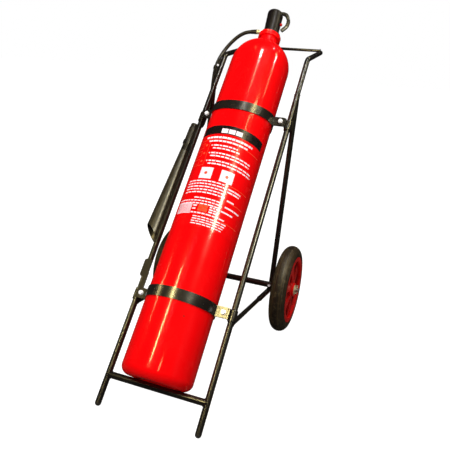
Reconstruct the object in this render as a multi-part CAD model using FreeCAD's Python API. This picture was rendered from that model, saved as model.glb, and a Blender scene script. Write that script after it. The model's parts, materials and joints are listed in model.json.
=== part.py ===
import FreeCAD, Part
import math
import os
from FreeCAD import Vector

# A wheeled carbon dioxide fire extinguisher leaning on its trolley, in millimetres.
# Every piece is first built in the trolley's own frame: X to the right, N (second coordinate)
# backwards from the plane of the two side tubes, U (third coordinate) up along those tubes.
# The finished pieces are then leaned back together until feet and tyres stand on Z = 0.

# ---- driving dimensions ----
CYLINDER_RADIUS = 109.5
CYLINDER_WALL = 6.0
CYLINDER_N = -23.0
CYLINDER_BASE = 105.7
SHOULDER_CENTRE = 1278.0
BASE_CORNER = 28.0
NECK_RADIUS = 36.0
NECK_FILLET = 14.0
NECK_TOP = 1437.0
NECK_BORE = 14.05
COLLAR_RADIUS = 43.0
COLLAR_HEIGHT = 21.0

TUBE_RADIUS = 9.5
TUBE_WALL = 2.0
TUBE_X = 163.0
CROSSBAR_RADIUS = 10.5
HANDLE_BEND_U = 1359.0
HANDLE_BEND_RADIUS = 45.0
HANDLE_END = (153.0, 1534.5)
HANDLE_BAR = (139.0, 1532.0)
HANDLE_BAR_RADIUS = 5.5
HANDLE_CAP = 4.0

AXLE_N = 353.0
AXLE_U = 583.0
AXLE_RADIUS = 8.0
AXLE_TUBE_RADIUS = 11.0
AXLE_TUBE_HALF = 186.0
LOCK_BOLT_X = 166.0
STAY_TOP_U = 1195.0
STAY_CORNER = (389.0, 580.5)
STAY_BEND_RADIUS = 36.0
STRUT_FOOT_U = 326.0
STRUT_RADIUS = 7.5
STRUT_STEP = 0.67

WHEEL_RADIUS = 160.0
WHEEL_X = 229.0
TYRE_SECTION = 28.0
RIM_RADIUS = 121.0
RIM_HALF_WIDTH = 27.8
HUB_RADIUS = 25.0
HUB_OUTER = 31.0
HUB_INNER = -40.0
SPOKES = 6
FOOT_FACET = 0.6

STRAP_HEIGHT = 34.0
STRAP_THICKNESS = 3.0
STRAP_GAP = 0.2
LOWER_STRAP_U = 355.0
UPPER_STRAP_U = 1055.0
UPPER_STRAP_DIP = 13.5
LOWER_STRAP_DIP = 1.0
SLEEVE_RADIUS = 12.7
SLEEVE_LEG_X = 152.3
EAR_THICKNESS = 3.5
BOLT_X = 139.0

LABEL_SPAN = (-54.0, 79.0)
LABEL_HEIGHT = (568.0, 948.0)

VALVE_FLANGE = (39.0, 8.0)
SHROUD_BASE_U = 1445.0
SHROUD_TOP_U = 1553.5
SHROUD_BASE_RADIUS = 28.5
SHROUD_TOP_RADIUS = 31.0
SHROUD_LEAN_X = -7.0
SHROUD_WALL = 2.6
CAVITY_TOP_U = 1524.0
SLOT_HALF = 7.3
PIVOT_U = 1540.0
CAP_U = 1500.0
CAM_RADIUS = 10.0
CAM_OFFSET = 4.0
LEVER_SWING = 65.0
LEVER_HALF = 6.0
SAFETY_PIN_RADIUS = 1.5
SAFETY_PIN_ARM = 7.2
OUTLET_U = 1459.0

HOSE_RADIUS = 7.0
HORN_TOP = Vector(-194.0, 21.0, 1033.0)
HORN_LOW = Vector(-203.5, 21.0, 560.0)
HORN_MOUTH = Vector(-202.0, 21.0, 574.0)
HORN_CUT_X = -0.86
HORN_CUT_N = -0.63
GRIP_RADIUS = 15.0
GRIP_LENGTH = 100.0
HORN_WALL = 2.5

RUNNING = 0.05
SHORTEST_RUN = 0.01
X_AXIS = Vector(1, 0, 0)
N_AXIS = Vector(0, 1, 0)
U_AXIS = Vector(0, 0, 1)

HORN_AXIS = (HORN_LOW - HORN_TOP).normalize()
ELBOW_CENTRE = HORN_TOP + HORN_AXIS * 6.0
ELBOW_AXIS = Vector(0.06, 0.85, 0.53).normalize()
ELBOW_REACH = 24.0
HOSE_END = ELBOW_CENTRE + ELBOW_AXIS * ELBOW_REACH

# The hose's route, from the ferrule at the valve to the elbow at the top of the horn's grip.
HOSE_ROUTE = [
    Vector(-58.0, CYLINDER_N, OUTLET_U),
    Vector(-90.0, CYLINDER_N, OUTLET_U),
    Vector(-124.0, -15.0, 1449.0),
    Vector(-158.5, 1.0, 1424.0),
    Vector(-188.5, 15.0, 1374.5),
    Vector(-191.5, 8.5, 1300.5),
    Vector(-193.0, 38.0, 1248.0),
    Vector(-203.5, 101.5, 1198.0),
    Vector(-208.0, 112.0, 1128.5),
    Vector(-195.0, 85.0, 1074.0),
    HOSE_END + ELBOW_AXIS * 22.6,
    HOSE_END,
]
CLIP_CORNER = 5
CLIP_BOLT_X = -178.0


# ---- building blocks ----
def aim(shape, origin, direction):
    """Turn a shape built along +Z to point along a direction, with its origin at a point."""
    shape.Placement = FreeCAD.Placement(origin, FreeCAD.Rotation(U_AXIS, direction))
    return shape


def rod(start, end, radius):
    run = end - start
    return Part.makeCylinder(radius, run.Length, start, run)


def pipe(start, end, outer, inner):
    return rod(start, end, outer).cut(rod(start, end, inner))


def box(low, high):
    size = high - low
    return Part.makeBox(size.x, size.y, size.z, low)


def ring(radius, hole, start, height):
    """A plain ring about +Z."""
    outer = Part.makeCylinder(radius, height, Vector(0, 0, start))
    return outer.cut(Part.makeCylinder(hole, height, Vector(0, 0, start)))


def turned(outline):
    """Revolve a closed outline of (radius, height) points about +Z."""
    points = [Vector(radius, 0, height) for radius, height in outline]
    wire = Part.makePolygon(points + points[:1])
    return Part.Face(wire).revolve(Vector(0, 0, 0), U_AXIS, 360)


def mirrored(shape):
    return shape.mirror(Vector(0, 0, 0), X_AXIS)


def mirror_sign(shape, side):
    """Pieces are built for the right-hand side and mirrored for the left."""
    return shape if side > 0 else mirrored(shape)


def group(shapes):
    return Part.makeCompound(shapes)


def hexagon(across_flats, height):
    """A hexagonal prism along +Z with its upper corners chamfered."""
    corner = across_flats / math.sqrt(3)
    points = []
    for step in range(7):
        angle = math.radians(60 * step)
        points.append(Vector(corner * math.cos(angle), corner * math.sin(angle), 0))
    prism = Part.Face(Part.makePolygon(points)).extrude(Vector(0, 0, height))
    drop = corner - across_flats / 2
    cap = Part.makeCylinder(corner, height - drop)
    cap = cap.fuse(Part.makeCone(corner, across_flats / 2, drop, Vector(0, 0, height - drop)))
    return prism.common(cap)


def hex_bolt(across_flats, head, shank_radius, length):
    """Head above Z = 0, shank below."""
    return hexagon(across_flats, head).fuse(
        Part.makeCylinder(shank_radius, length, Vector(0, 0, -length)))


def bent_path(points, radii):
    """Straight runs through the points, joined by tangent arcs of the given radii."""
    edges = []
    start = points[0]
    for before, corner, after, radius in zip(points, points[1:], points[2:], radii):
        along = (corner - before).normalize()
        onward = (after - corner).normalize()
        half_turn = along.getAngle(onward) / 2
        setback = radius * math.tan(half_turn)
        inward = (onward - along).normalize()
        centre = corner + inward * (radius / math.cos(half_turn))
        arc_start = corner - along * setback
        arc_end = corner + onward * setback
        if (arc_start - start).Length > SHORTEST_RUN:
            edges.append(Part.LineSegment(start, arc_start).toShape())
        edges.append(Part.Arc(arc_start, centre - inward * radius, arc_end).toShape())
        start = arc_end
    if (points[-1] - start).Length > SHORTEST_RUN:
        edges.append(Part.LineSegment(start, points[-1]).toShape())
    return Part.Wire(edges)


def sweep(path, radius):
    """A round solid along a path."""
    first = path.Edges[0]
    start = first.valueAt(first.FirstParameter)
    section = Part.Wire(Part.makeCircle(radius, start, first.tangentAt(first.FirstParameter)))
    return path.makePipeShell([section], True, False)


def bent_tube(points, radii, outer, inner):
    path = bent_path(points, radii)
    return sweep(path, outer).cut(sweep(path, inner))


def widest_bends(points):
    """The largest tangent arcs that the runs beside each corner allow."""
    radii = []
    for before, corner, after in zip(points, points[1:], points[2:]):
        along = corner - before
        onward = after - corner
        shorter = min(along.Length, onward.Length)
        radii.append(0.45 * shorter / math.tan(along.getAngle(onward) / 2))
    return radii


def side_solid(side, bottom, top, radius):
    x = side * TUBE_X
    return rod(Vector(x, 0, bottom), Vector(x, 0, top), radius)


# ---- gas cylinder ----
def on_axis(shape):
    shape.translate(Vector(0, CYLINDER_N, 0))
    return shape


def shell_outline(offset, neck):
    """Half outline of the cylinder body, drawn inwards by an offset, closed on the axis."""
    radius = CYLINDER_RADIUS - offset
    corner = BASE_CORNER - offset
    base = CYLINDER_BASE + offset
    foot = CYLINDER_RADIUS - BASE_CORNER
    fillet = NECK_FILLET if offset == 0 else 0.01
    join_r = neck + fillet
    join_u = SHOULDER_CENTRE + math.sqrt((radius + fillet) ** 2 - join_r ** 2)
    scale = radius / (radius + fillet)
    on_dome = Vector(join_r * scale, 0, SHOULDER_CENTRE + (join_u - SHOULDER_CENTRE) * scale)
    on_neck = Vector(neck, 0, join_u)
    dome_mid = Vector(radius * math.cos(0.5), 0, SHOULDER_CENTRE + radius * math.sin(0.5))
    lean = math.atan2(join_u - SHOULDER_CENTRE, join_r) / 2
    fillet_mid = Vector(join_r - fillet * math.cos(lean), 0, join_u - fillet * math.sin(lean))
    dish = Vector(0, 0, base + 14)
    dish_mid = Vector(foot * 0.5, 0, base + 10.6)
    foot_in = Vector(foot - 8, 0, base)
    foot_out = Vector(foot, 0, base)
    corner_mid = Vector(foot + corner * math.sin(math.pi / 4), 0,
                        base + corner * (1 - math.cos(math.pi / 4)))
    wall_low = Vector(radius, 0, base + corner)
    wall_high = Vector(radius, 0, SHOULDER_CENTRE)
    top = Vector(neck, 0, NECK_TOP)
    axis_top = Vector(0, 0, NECK_TOP)
    edges = [
        Part.Arc(dish, dish_mid, foot_in),
        Part.LineSegment(foot_in, foot_out),
        Part.Arc(foot_out, corner_mid, wall_low),
        Part.LineSegment(wall_low, wall_high),
        Part.Arc(wall_high, dome_mid, on_dome),
        Part.Arc(on_dome, fillet_mid, on_neck),
        Part.LineSegment(on_neck, top),
        Part.LineSegment(top, axis_top),
        Part.LineSegment(axis_top, dish),
    ]
    wire = Part.Wire([edge.toShape() for edge in edges])
    return Part.Face(wire).revolve(Vector(0, 0, 0), U_AXIS, 360)


def cylinder_shell():
    return on_axis(shell_outline(0, NECK_RADIUS).cut(shell_outline(CYLINDER_WALL, NECK_BORE)))


def neck_ring():
    bottom = NECK_TOP - COLLAR_HEIGHT
    outline = [
        (NECK_RADIUS + 0.1, bottom),
        (COLLAR_RADIUS - 1.5, bottom),
        (COLLAR_RADIUS, bottom + 1.5),
        (COLLAR_RADIUS, NECK_TOP - 2.5),
        (COLLAR_RADIUS - 2.5, NECK_TOP),
        (NECK_RADIUS + 0.1, NECK_TOP),
    ]
    return on_axis(turned(outline))


def label_film():
    """A printed vinyl sheet round the front of the cylinder, between two angles from its front."""
    inner = CYLINDER_RADIUS + 0.05
    low, high = LABEL_HEIGHT
    first, last = LABEL_SPAN
    sheet = ring(inner + 0.3, inner, low, high - low)
    wedge = Part.makeCylinder(130, high, Vector(0, 0, 0), U_AXIS, last - first)
    wedge.rotate(Vector(0, 0, 0), U_AXIS, first - 90)
    return on_axis(sheet.common(wedge))


def dip_tube():
    tube = ring(7.0, 5.0, CYLINDER_BASE + 24, NECK_TOP - 40 - CYLINDER_BASE - 24)
    return on_axis(tube)


# ---- valve ----
def valve_body():
    outline = [
        (5.0, NECK_TOP - 40), (NECK_BORE - 0.05, NECK_TOP - 40), (NECK_BORE - 0.05, NECK_TOP),
        (24, NECK_TOP), (24, NECK_TOP + 9), (18, NECK_TOP + 12), (18, 1507), (12, 1510),
        (12, 1512), (4.1, 1512), (4.1, 1473), (6, 1473), (6, 1444), (8.5, 1444),
        (8.5, 1413), (5.0, 1413),
    ]
    body = turned(outline)
    outlet = Part.makeCylinder(9.0, 14.0, Vector(-16, 0, OUTLET_U), Vector(-1, 0, 0))
    port = Part.makeCylinder(4.5, 26.0, Vector(-5, 0, OUTLET_U), Vector(-1, 0, 0))
    spud = Part.makeCylinder(6.0, 5.2, Vector(15, 0, CAP_U), X_AXIS)
    return on_axis(body.fuse(outlet).fuse(spud).cut(port).removeSplitter())


def flange_ring():
    radius, height = VALVE_FLANGE
    outline = [
        (24.2, NECK_TOP), (radius - 1, NECK_TOP), (radius, NECK_TOP + 1),
        (radius, NECK_TOP + height - 2), (radius - 2, NECK_TOP + height), (24.2, NECK_TOP + height),
    ]
    return on_axis(turned(outline))


def shroud_loft(inset, bottom, top):
    """The shroud's tapered outline: its axis leans a little to the left towards the top."""
    span = SHROUD_TOP_U - SHROUD_BASE_U
    sections = []
    for height in (bottom, top):
        share = (height - SHROUD_BASE_U) / span
        radius = SHROUD_BASE_RADIUS + (SHROUD_TOP_RADIUS - SHROUD_BASE_RADIUS) * share - inset
        centre = Vector(SHROUD_LEAN_X * share, 0, height)
        sections.append(Part.Wire(Part.makeCircle(radius, centre, U_AXIS)))
    return Part.makeLoft(sections, True, True)


def valve_shroud():
    outside = shroud_loft(0, SHROUD_BASE_U, SHROUD_TOP_U)
    top_edges = [edge for edge in outside.Edges
                 if edge.BoundBox.ZMin > SHROUD_TOP_U - 1]
    outside = outside.makeFillet(5.0, top_edges[:1])
    inside = shroud_loft(SHROUD_WALL, SHROUD_BASE_U, CAVITY_TOP_U)
    slot = box(Vector(-19, -SLOT_HALF, CAVITY_TOP_U - 2), Vector(60, SLOT_HALF, SHROUD_TOP_U + 9))
    outlet_hole = Part.makeCylinder(11.6, 40, Vector(-10, 0, OUTLET_U), Vector(-1, 0, 0))
    cap_hole = Part.makeCylinder(6.3, 30, Vector(10, 0, CAP_U), X_AXIS)
    pivot_hole = Part.makeCylinder(2.5, 44, Vector(0, -22, PIVOT_U), N_AXIS)
    pin_hole = Part.makeCylinder(SAFETY_PIN_RADIUS + RUNNING, 60,
                                 Vector(-SAFETY_PIN_ARM, -14, PIVOT_U), N_AXIS)
    shroud = outside.cut(inside)
    for hole in (slot, outlet_hole, cap_hole, pivot_hole, pin_hole):
        shroud = shroud.cut(hole)
    return on_axis(shroud)


def burst_disc_cap():
    """A red safety cap whose round head shows in the lever's loop."""
    stem = Part.makeCylinder(4.5, 7.0, Vector(20.2, 0, CAP_U), X_AXIS)
    head = turned([(0, 0), (5.5, 0), (5.5, 3), (4.0, 5), (0, 5.6)])
    return on_axis(stem.fuse(aim(head, Vector(27.2, 0, CAP_U), X_AXIS)))


def lever_pivot_pin():
    return on_axis(rod(Vector(0, -22, PIVOT_U), Vector(0, 22, PIVOT_U), 2.5))


def lever_loop():
    """The D-shaped pull loop, a rounded bar that curves out and down to the right."""
    points = [
        Vector(-2, 0, PIVOT_U + 4), Vector(18, 0, 1559), Vector(38, 0, 1552),
        Vector(54, 0, 1523), Vector(53.5, 0, 1491), Vector(37, 0, 1470),
    ]
    path = bent_path(points, widest_bends(points))
    first = path.Edges[0]
    tangent = first.tangentAt(first.FirstParameter)
    side = Vector(0, 1, 0)
    up = tangent.cross(side)
    half = 6.5
    corners = [points[0] + side * (a * LEVER_HALF) + up * (b * half)
               for a, b in ((-1, -0.5), (-0.6, -1), (0.6, -1), (1, -0.5), (1, 0.5), (0.6, 1),
                            (-0.6, 1), (-1, 0.5))]
    section = Part.makePolygon(corners + corners[:1])
    return path.makePipeShell([section], True, False)


def lever_pin_slot():
    """An arc slot for the safety pin, so that the lever can turn round it."""
    slot = ring(SAFETY_PIN_ARM + 1.75, SAFETY_PIN_ARM - 1.75, -8, 16)
    wedge = Part.makeCylinder(20, 16, Vector(0, 0, -8), U_AXIS, LEVER_SWING)
    wedge.rotate(Vector(0, 0, 0), U_AXIS, 180 - LEVER_SWING)
    slot = slot.common(wedge)
    for angle in (180 - LEVER_SWING, 180):
        x = SAFETY_PIN_ARM * math.cos(math.radians(angle))
        y = SAFETY_PIN_ARM * math.sin(math.radians(angle))
        slot = slot.fuse(Part.makeCylinder(1.75, 16, Vector(x, y, -8)))
    slot.rotate(Vector(0, 0, 0), X_AXIS, 90)
    slot.translate(Vector(0, 0, PIVOT_U))
    return slot


def operating_lever():
    cam = Part.makeCylinder(CAM_RADIUS, 2 * LEVER_HALF,
                            Vector(-CAM_OFFSET, -LEVER_HALF, PIVOT_U), N_AXIS)
    pivot_hole = Part.makeCylinder(2.5 + RUNNING, 30, Vector(0, -15, PIVOT_U), N_AXIS)
    lever = cam.fuse(lever_loop()).cut(pivot_hole).cut(lever_pin_slot())
    return on_axis(lever)


def safety_pin():
    """A straight pin through the cheeks, pulled out to the rear."""
    x = -SAFETY_PIN_ARM
    pin = rod(Vector(x, -13.5, PIVOT_U), Vector(x, 38, PIVOT_U), SAFETY_PIN_RADIUS)
    eye = rod(Vector(x, 33, PIVOT_U), Vector(x, 41, PIVOT_U), 3.2)
    hole = rod(Vector(x - 9, 37, PIVOT_U), Vector(x + 9, 37, PIVOT_U), 1.3)
    return on_axis(pin.fuse(eye).cut(hole))


def pin_ring():
    ring_wire = Part.makeTorus(12.0, 1.1)
    centre = Vector(-SAFETY_PIN_ARM, 37, PIVOT_U - 12.0)
    return on_axis(aim(ring_wire, centre, N_AXIS))


def valve_stem():
    top = PIVOT_U - CAM_RADIUS - 0.3
    stem = turned([(0, 1442.6), (2.5, 1442.6), (2.5, 1477), (4.05, 1479), (4.05, top - 1),
                   (3.2, top), (0, top)])
    return on_axis(stem)


def valve_seal():
    return on_axis(turned([(0, 1438.5), (7.6, 1438.5), (7.6, 1442.6), (0, 1442.6)]))


def stem_spring():
    """Four open coils under the seal."""
    helix = Part.makeHelix(4.2, 16.8, 6.4)
    start = helix.Edges[0].valueAt(helix.Edges[0].FirstParameter)
    tangent = helix.Edges[0].tangentAt(helix.Edges[0].FirstParameter)
    section = Part.Wire(Part.makeCircle(0.8, start, tangent))
    coil = Part.Wire(helix).makePipeShell([section], True, True)
    coil.translate(Vector(0, 0, 1419.6))
    return on_axis(coil)


def outlet_nut():
    nut = hexagon(19.0, 15.0).cut(Part.makeCylinder(4.5, 15.0))
    return on_axis(aim(nut, Vector(-30.1, 0, OUTLET_U), Vector(-1, 0, 0)))


# ---- hose and horn ----
def hose_ferrule_top():
    ferrule = turned([(4.5, 0), (7.6, 0), (8.4, 1), (8.4, 11), (7.6, 12.9), (4.5, 12.9)])
    return on_axis(aim(ferrule, Vector(-45.1, 0, OUTLET_U), Vector(-1, 0, 0)))


def discharge_hose():
    path = bent_path(HOSE_ROUTE, widest_bends(HOSE_ROUTE))
    return sweep(path, HOSE_RADIUS)


def on_horn(shape):
    return aim(shape, HORN_TOP, HORN_AXIS)


def grip_elbow():
    """Swivel elbow on the grip: a round block with a spout to the rear for the hose."""
    block = turned([(0, -1), (9, -1), (12.5, 1), (13.5, 4), (13.5, 13.8), (0, 13.8)])
    spigot = Part.makeCylinder(8.0, 22.0, Vector(0, 0, 13.8))
    spout = rod(ELBOW_CENTRE, HOSE_END, 8.6)
    port = rod(ELBOW_CENTRE, HOSE_END, 4.5)
    bore = Part.makeCylinder(4.5, 30.0, Vector(0, 0, 6))
    return on_horn(block.fuse(spigot)).fuse(spout).cut(port).cut(on_horn(bore))


def horn_grip():
    """Hollow hand grip that turns on the elbow's spigot."""
    outline = [(8.05, 14.1), (13, 14.1), (GRIP_RADIUS, 18)]
    outline += [(GRIP_RADIUS, GRIP_LENGTH - 3), (GRIP_RADIUS - 1.5, GRIP_LENGTH)]
    outline += [(5.0, GRIP_LENGTH), (5.0, 38), (8.05, 38)]
    return on_horn(turned(outline))


def horn_collar():
    """Grooved coupling between the grip and the horn."""
    outline = [(5.0, GRIP_LENGTH), (12.6, GRIP_LENGTH)]
    for groove in (0, 1, 2):
        start = GRIP_LENGTH + 1.5 + 5.5 * groove
        outline += [(12.6, start), (15.2, start + 0.8), (15.2, start + 3.2), (12.6, start + 4)]
    outline += [(12.6, GRIP_LENGTH + 18), (5.0, GRIP_LENGTH + 18)]
    return on_horn(turned(outline))


def below_mouth():
    """Half space below the oblique mouth."""
    slab = Part.makeBox(400, 400, 200, Vector(-200, -200, 0))
    return aim(slab, HORN_MOUTH, Vector(HORN_CUT_X, HORN_CUT_N, -1).normalize())


def horn():
    start = GRIP_LENGTH + 18
    end = 520.0
    mouth = 29.5
    outline = [(5.0, start), (14.0, start), (15.6, start + 3), (mouth, end),
               (mouth - HORN_WALL, end), (13.0, start + 8), (5.0, start + 6)]
    return on_horn(turned(outline)).cut(below_mouth())


def horn_clip():
    """Open spring clip round the lower end of the grip, on a bridge welded to the left side tube."""
    centre = HORN_TOP + HORN_AXIS * 84.0
    clip = aim(ring(GRIP_RADIUS + 2.6, GRIP_RADIUS + 0.4, -8, 16), centre, HORN_AXIS)
    clip = clip.cut(box(centre + Vector(-30, -7.5, -20), centre + Vector(-6, 7.5, 20)))
    reach = Vector(-TUBE_X - centre.x, -centre.y, 0)
    bridge = box(Vector(0, -4, -8), Vector(reach.Length, 4, 8))
    bridge.rotate(Vector(0, 0, 0), U_AXIS, math.degrees(math.atan2(reach.y, reach.x)))
    bridge.translate(centre)
    keep_out = rod(centre - HORN_AXIS * 20, centre + HORN_AXIS * 20, GRIP_RADIUS + 0.4)
    bridge = bridge.cut(keep_out).cut(side_solid(-1, centre.z - 20, centre.z + 20, TUBE_RADIUS))
    return clip.fuse(bridge).removeSplitter()


# ---- trolley frame ----
def handle_leg_axis():
    n, u = HANDLE_END
    return Vector(0, n, u - HANDLE_BEND_U).normalize()


def side_tube(side):
    """One length of tube from the foot to the end of the handle's leg."""
    x = side * TUBE_X
    n, u = HANDLE_END
    points = [Vector(x, 0, TUBE_RADIUS), Vector(x, 0, HANDLE_BEND_U), Vector(x, n, u)]
    return bent_tube(points, [HANDLE_BEND_RADIUS], TUBE_RADIUS, TUBE_RADIUS - TUBE_WALL)


def handle_plug(side):
    """A domed plug in the end of the handle's leg."""
    n, u = HANDLE_END
    spigot = TUBE_RADIUS - TUBE_WALL
    bulge = (TUBE_RADIUS ** 2 + HANDLE_CAP ** 2) / (2 * HANDLE_CAP)
    dome = Part.makeSphere(bulge, Vector(0, 0, HANDLE_CAP - bulge))
    dome = dome.common(Part.makeCylinder(TUBE_RADIUS, 10))
    plug = dome.fuse(Part.makeCylinder(spigot, 15, Vector(0, 0, -15)))
    return aim(plug, Vector(side * TUBE_X, n, u), handle_leg_axis())


def handle_bar():
    """A thinner round bar welded across the two legs just short of their ends."""
    n, u = HANDLE_BAR
    bar = rod(Vector(-TUBE_X, n, u), Vector(TUBE_X, n, u), HANDLE_BAR_RADIUS)
    end_n, end_u = HANDLE_END
    for side in (-1, 1):
        end = Vector(side * TUBE_X, end_n, end_u)
        bar = bar.cut(rod(end - handle_leg_axis() * 60, end + handle_leg_axis() * 10, TUBE_RADIUS))
    return bar


def foot_plug(side):
    x = side * TUBE_X
    centre = Vector(x, 0, TUBE_RADIUS)
    dome = Part.makeSphere(TUBE_RADIUS, centre)
    dome = dome.common(box(Vector(x - 20, -20, -20), Vector(x + 20, 20, TUBE_RADIUS)))
    spigot = rod(centre, Vector(x, 0, TUBE_RADIUS + 18), TUBE_RADIUS - TUBE_WALL)
    plug = dome.fuse(spigot)
    down = Vector(0, math.sin(math.radians(LEAN)), -math.cos(math.radians(LEAN)))
    floor = aim(Part.makeBox(60, 60, 20, Vector(-30, -30, 0)),
                centre + down * (TUBE_RADIUS - FOOT_FACET), down)
    return plug.cut(floor)


def lower_crossbar():
    height = CYLINDER_BASE - CROSSBAR_RADIUS
    ends = Vector(TUBE_X - 4.5, 0, height)
    bar = pipe(Vector(-ends.x, 0, height), ends, CROSSBAR_RADIUS, CROSSBAR_RADIUS - TUBE_WALL)
    for side in (-1, 1):
        bar = bar.cut(side_solid(side, 0, 200, TUBE_RADIUS))
    return bar


def hoop(height_u):
    inner = CYLINDER_RADIUS + STRAP_GAP
    band = ring(inner + STRAP_THICKNESS, inner, height_u - STRAP_HEIGHT / 2, STRAP_HEIGHT)
    return on_axis(band)


def dipped_hoop(height_u, dip):
    """A hoop whose front hangs lower than its tabs, by a tilt about the tabs' line."""
    inner = CYLINDER_RADIUS + STRAP_GAP
    tall = ring(inner + STRAP_THICKNESS, inner, height_u - 80, 160)
    slab = box(Vector(-200, -200, -STRAP_HEIGHT / 2), Vector(200, 200, STRAP_HEIGHT / 2))
    slab.rotate(Vector(0, 0, 0), X_AXIS, dip)
    slab.translate(Vector(0, 0, height_u))
    return on_axis(tall.common(slab))


def tab_plate(height_u, side, inner_x, outer_x, face_n, thickness):
    """A flat tab whose front face lies at face_n."""
    half = STRAP_HEIGHT / 2
    low = Vector(inner_x, face_n, height_u - half)
    high = Vector(outer_x, face_n + thickness, height_u + half)
    return mirror_sign(box(low, high), side)


def bolt_holes(height_u):
    return [Part.makeCylinder(4.1, 60, Vector(side * BOLT_X, -50, height_u), N_AXIS)
            for side in (-1, 1)]


def saddle(height_u):
    """Rear half hoop with tabs that turn back to sleeves round the two side tubes."""
    front = box(Vector(-200, -200, height_u - 40), Vector(200, CYLINDER_N, height_u + 40))
    band = hoop(height_u).cut(front)
    half = STRAP_HEIGHT / 2
    outer = SLEEVE_LEG_X + EAR_THICKNESS
    for side in (-1, 1):
        tab = tab_plate(height_u, side, CYLINDER_RADIUS + 0.5, outer, CYLINDER_N, EAR_THICKNESS)
        leg = tab_plate(height_u, side, SLEEVE_LEG_X, outer, CYLINDER_N, -CYLINDER_N)
        sleeve = side_solid(side, height_u - half, height_u + half, SLEEVE_RADIUS)
        band = band.fuse(tab).fuse(leg).fuse(sleeve)
        band = band.cut(side_solid(side, height_u - 40, height_u + 40, TUBE_RADIUS))
    for hole in bolt_holes(height_u):
        band = band.cut(hole)
    return band.removeSplitter()


def strap(height_u, dip):
    """Front half hoop with bolted tabs."""
    behind = box(Vector(-200, CYLINDER_N, height_u - 90), Vector(200, 200, height_u + 90))
    band = dipped_hoop(height_u, dip).cut(behind)
    face = CYLINDER_N - STRAP_THICKNESS
    for side in (-1, 1):
        tab = tab_plate(height_u, side, CYLINDER_RADIUS + 1.4, BOLT_X + 11.5, face,
                        STRAP_THICKNESS)
        band = band.fuse(tab)
    for hole in bolt_holes(height_u):
        band = band.cut(hole)
    return band.removeSplitter()


def strap_places():
    return [(side * BOLT_X, height) for height in (LOWER_STRAP_U, UPPER_STRAP_U)
            for side in (-1, 1)]


def head_seat(x, height_u):
    """Where a bolt's washer rests: on the strap, or on the horn rest's foot."""
    face = CYLINDER_N - STRAP_THICKNESS
    if x < 0 and height_u == LOWER_STRAP_U:
        face -= STRAP_THICKNESS
    return face


def strap_washer(x, height_u):
    seat = head_seat(x, height_u)
    return aim(ring(8.0, 4.15, 0, 1.6), Vector(x, seat, height_u), Vector(0, -1, 0))


def strap_bolt(x, height_u):
    seat = head_seat(x, height_u) - 1.6
    back = CYLINDER_N + EAR_THICKNESS + 9.0
    bolt = hex_bolt(13.0, 5.3, 4.0, back - seat)
    return aim(bolt, Vector(x, seat, height_u), Vector(0, -1, 0))


def strap_nut(x, height_u):
    nut = hexagon(13.0, 6.5).cut(Part.makeCylinder(4.05, 6.5))
    return aim(nut, Vector(x, CYLINDER_N + EAR_THICKNESS, height_u), N_AXIS)


def axle_line(half, radius):
    return rod(Vector(-half, AXLE_N, AXLE_U), Vector(half, AXLE_N, AXLE_U), radius)


def bolt_axis():
    """Forward and a little down, across the crook of the stay."""
    return Vector(0, -0.86, -0.5).normalize()


def axle_point(side, distance):
    return Vector(side * LOCK_BOLT_X, AXLE_N, AXLE_U) + bolt_axis() * distance


def bolt_boss(side):
    boss = rod(axle_point(side, 0), axle_point(side, 14), 6.5)
    boss = boss.cut(axle_line(AXLE_TUBE_HALF, AXLE_TUBE_RADIUS))
    return boss.cut(rod(axle_point(side, 0), axle_point(side, 30), 3.05))


def axle_lock_bolt(side):
    bolt = hex_bolt(9.0, 4.0, 3.0, 9.0)
    return aim(bolt, axle_point(side, 14), bolt_axis())


def strut_point(side, share):
    foot = Vector(side * TUBE_X, 0, STRUT_FOOT_U)
    head = Vector(side * TUBE_X, *STAY_CORNER)
    return foot + (head - foot) * share


def rear_stay(side):
    """One bent tube: down and back from the side tube, round behind the axle, and forward."""
    top = Vector(side * TUBE_X, 0, STAY_TOP_U)
    points = [top, strut_point(side, 1), strut_point(side, STRUT_STEP)]
    stay = bent_tube(points, [STAY_BEND_RADIUS], TUBE_RADIUS, TUBE_RADIUS - TUBE_WALL)
    stay = stay.cut(side_solid(side, 1000, 1320, TUBE_RADIUS))
    return stay.cut(axle_line(AXLE_TUBE_HALF, AXLE_TUBE_RADIUS))


def strut(side):
    """The thinner lower length, which plugs into the end of the stay."""
    tube = pipe(strut_point(side, 0), strut_point(side, STRUT_STEP + 0.08), STRUT_RADIUS,
                STRUT_RADIUS - TUBE_WALL)
    return tube.cut(side_solid(side, 200, 500, SLEEVE_RADIUS))


def axle_tube():
    tube = axle_line(AXLE_TUBE_HALF, AXLE_TUBE_RADIUS)
    tube = tube.cut(axle_line(AXLE_TUBE_HALF, AXLE_RADIUS + RUNNING))
    for side in (-1, 1):
        tube = tube.cut(rod(axle_point(side, 0), axle_point(side, 30), 3.05))
    return tube


def axle():
    half = WHEEL_X + HUB_OUTER + 16.0
    shaft = axle_line(half, AXLE_RADIUS)
    for side in (-1, 1):
        shaft = shaft.cut(rod(axle_point(side, 4.0), axle_point(side, 30), 3.05))
        x = side * (WHEEL_X + HUB_OUTER + 8.5)
        shaft = shaft.cut(rod(Vector(x, AXLE_N, AXLE_U - 30), Vector(x, AXLE_N, AXLE_U + 30), 2.05))
    return shaft


def hub_washers(side):
    inner = ring(16.0, AXLE_RADIUS + 0.1, AXLE_TUBE_HALF, 2.5)
    outer = ring(18.0, AXLE_RADIUS + 0.1, WHEEL_X + HUB_OUTER + 0.3, 3.0)
    both = aim(group([inner, outer]), Vector(0, AXLE_N, AXLE_U), X_AXIS)
    return mirror_sign(both, side)


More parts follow.
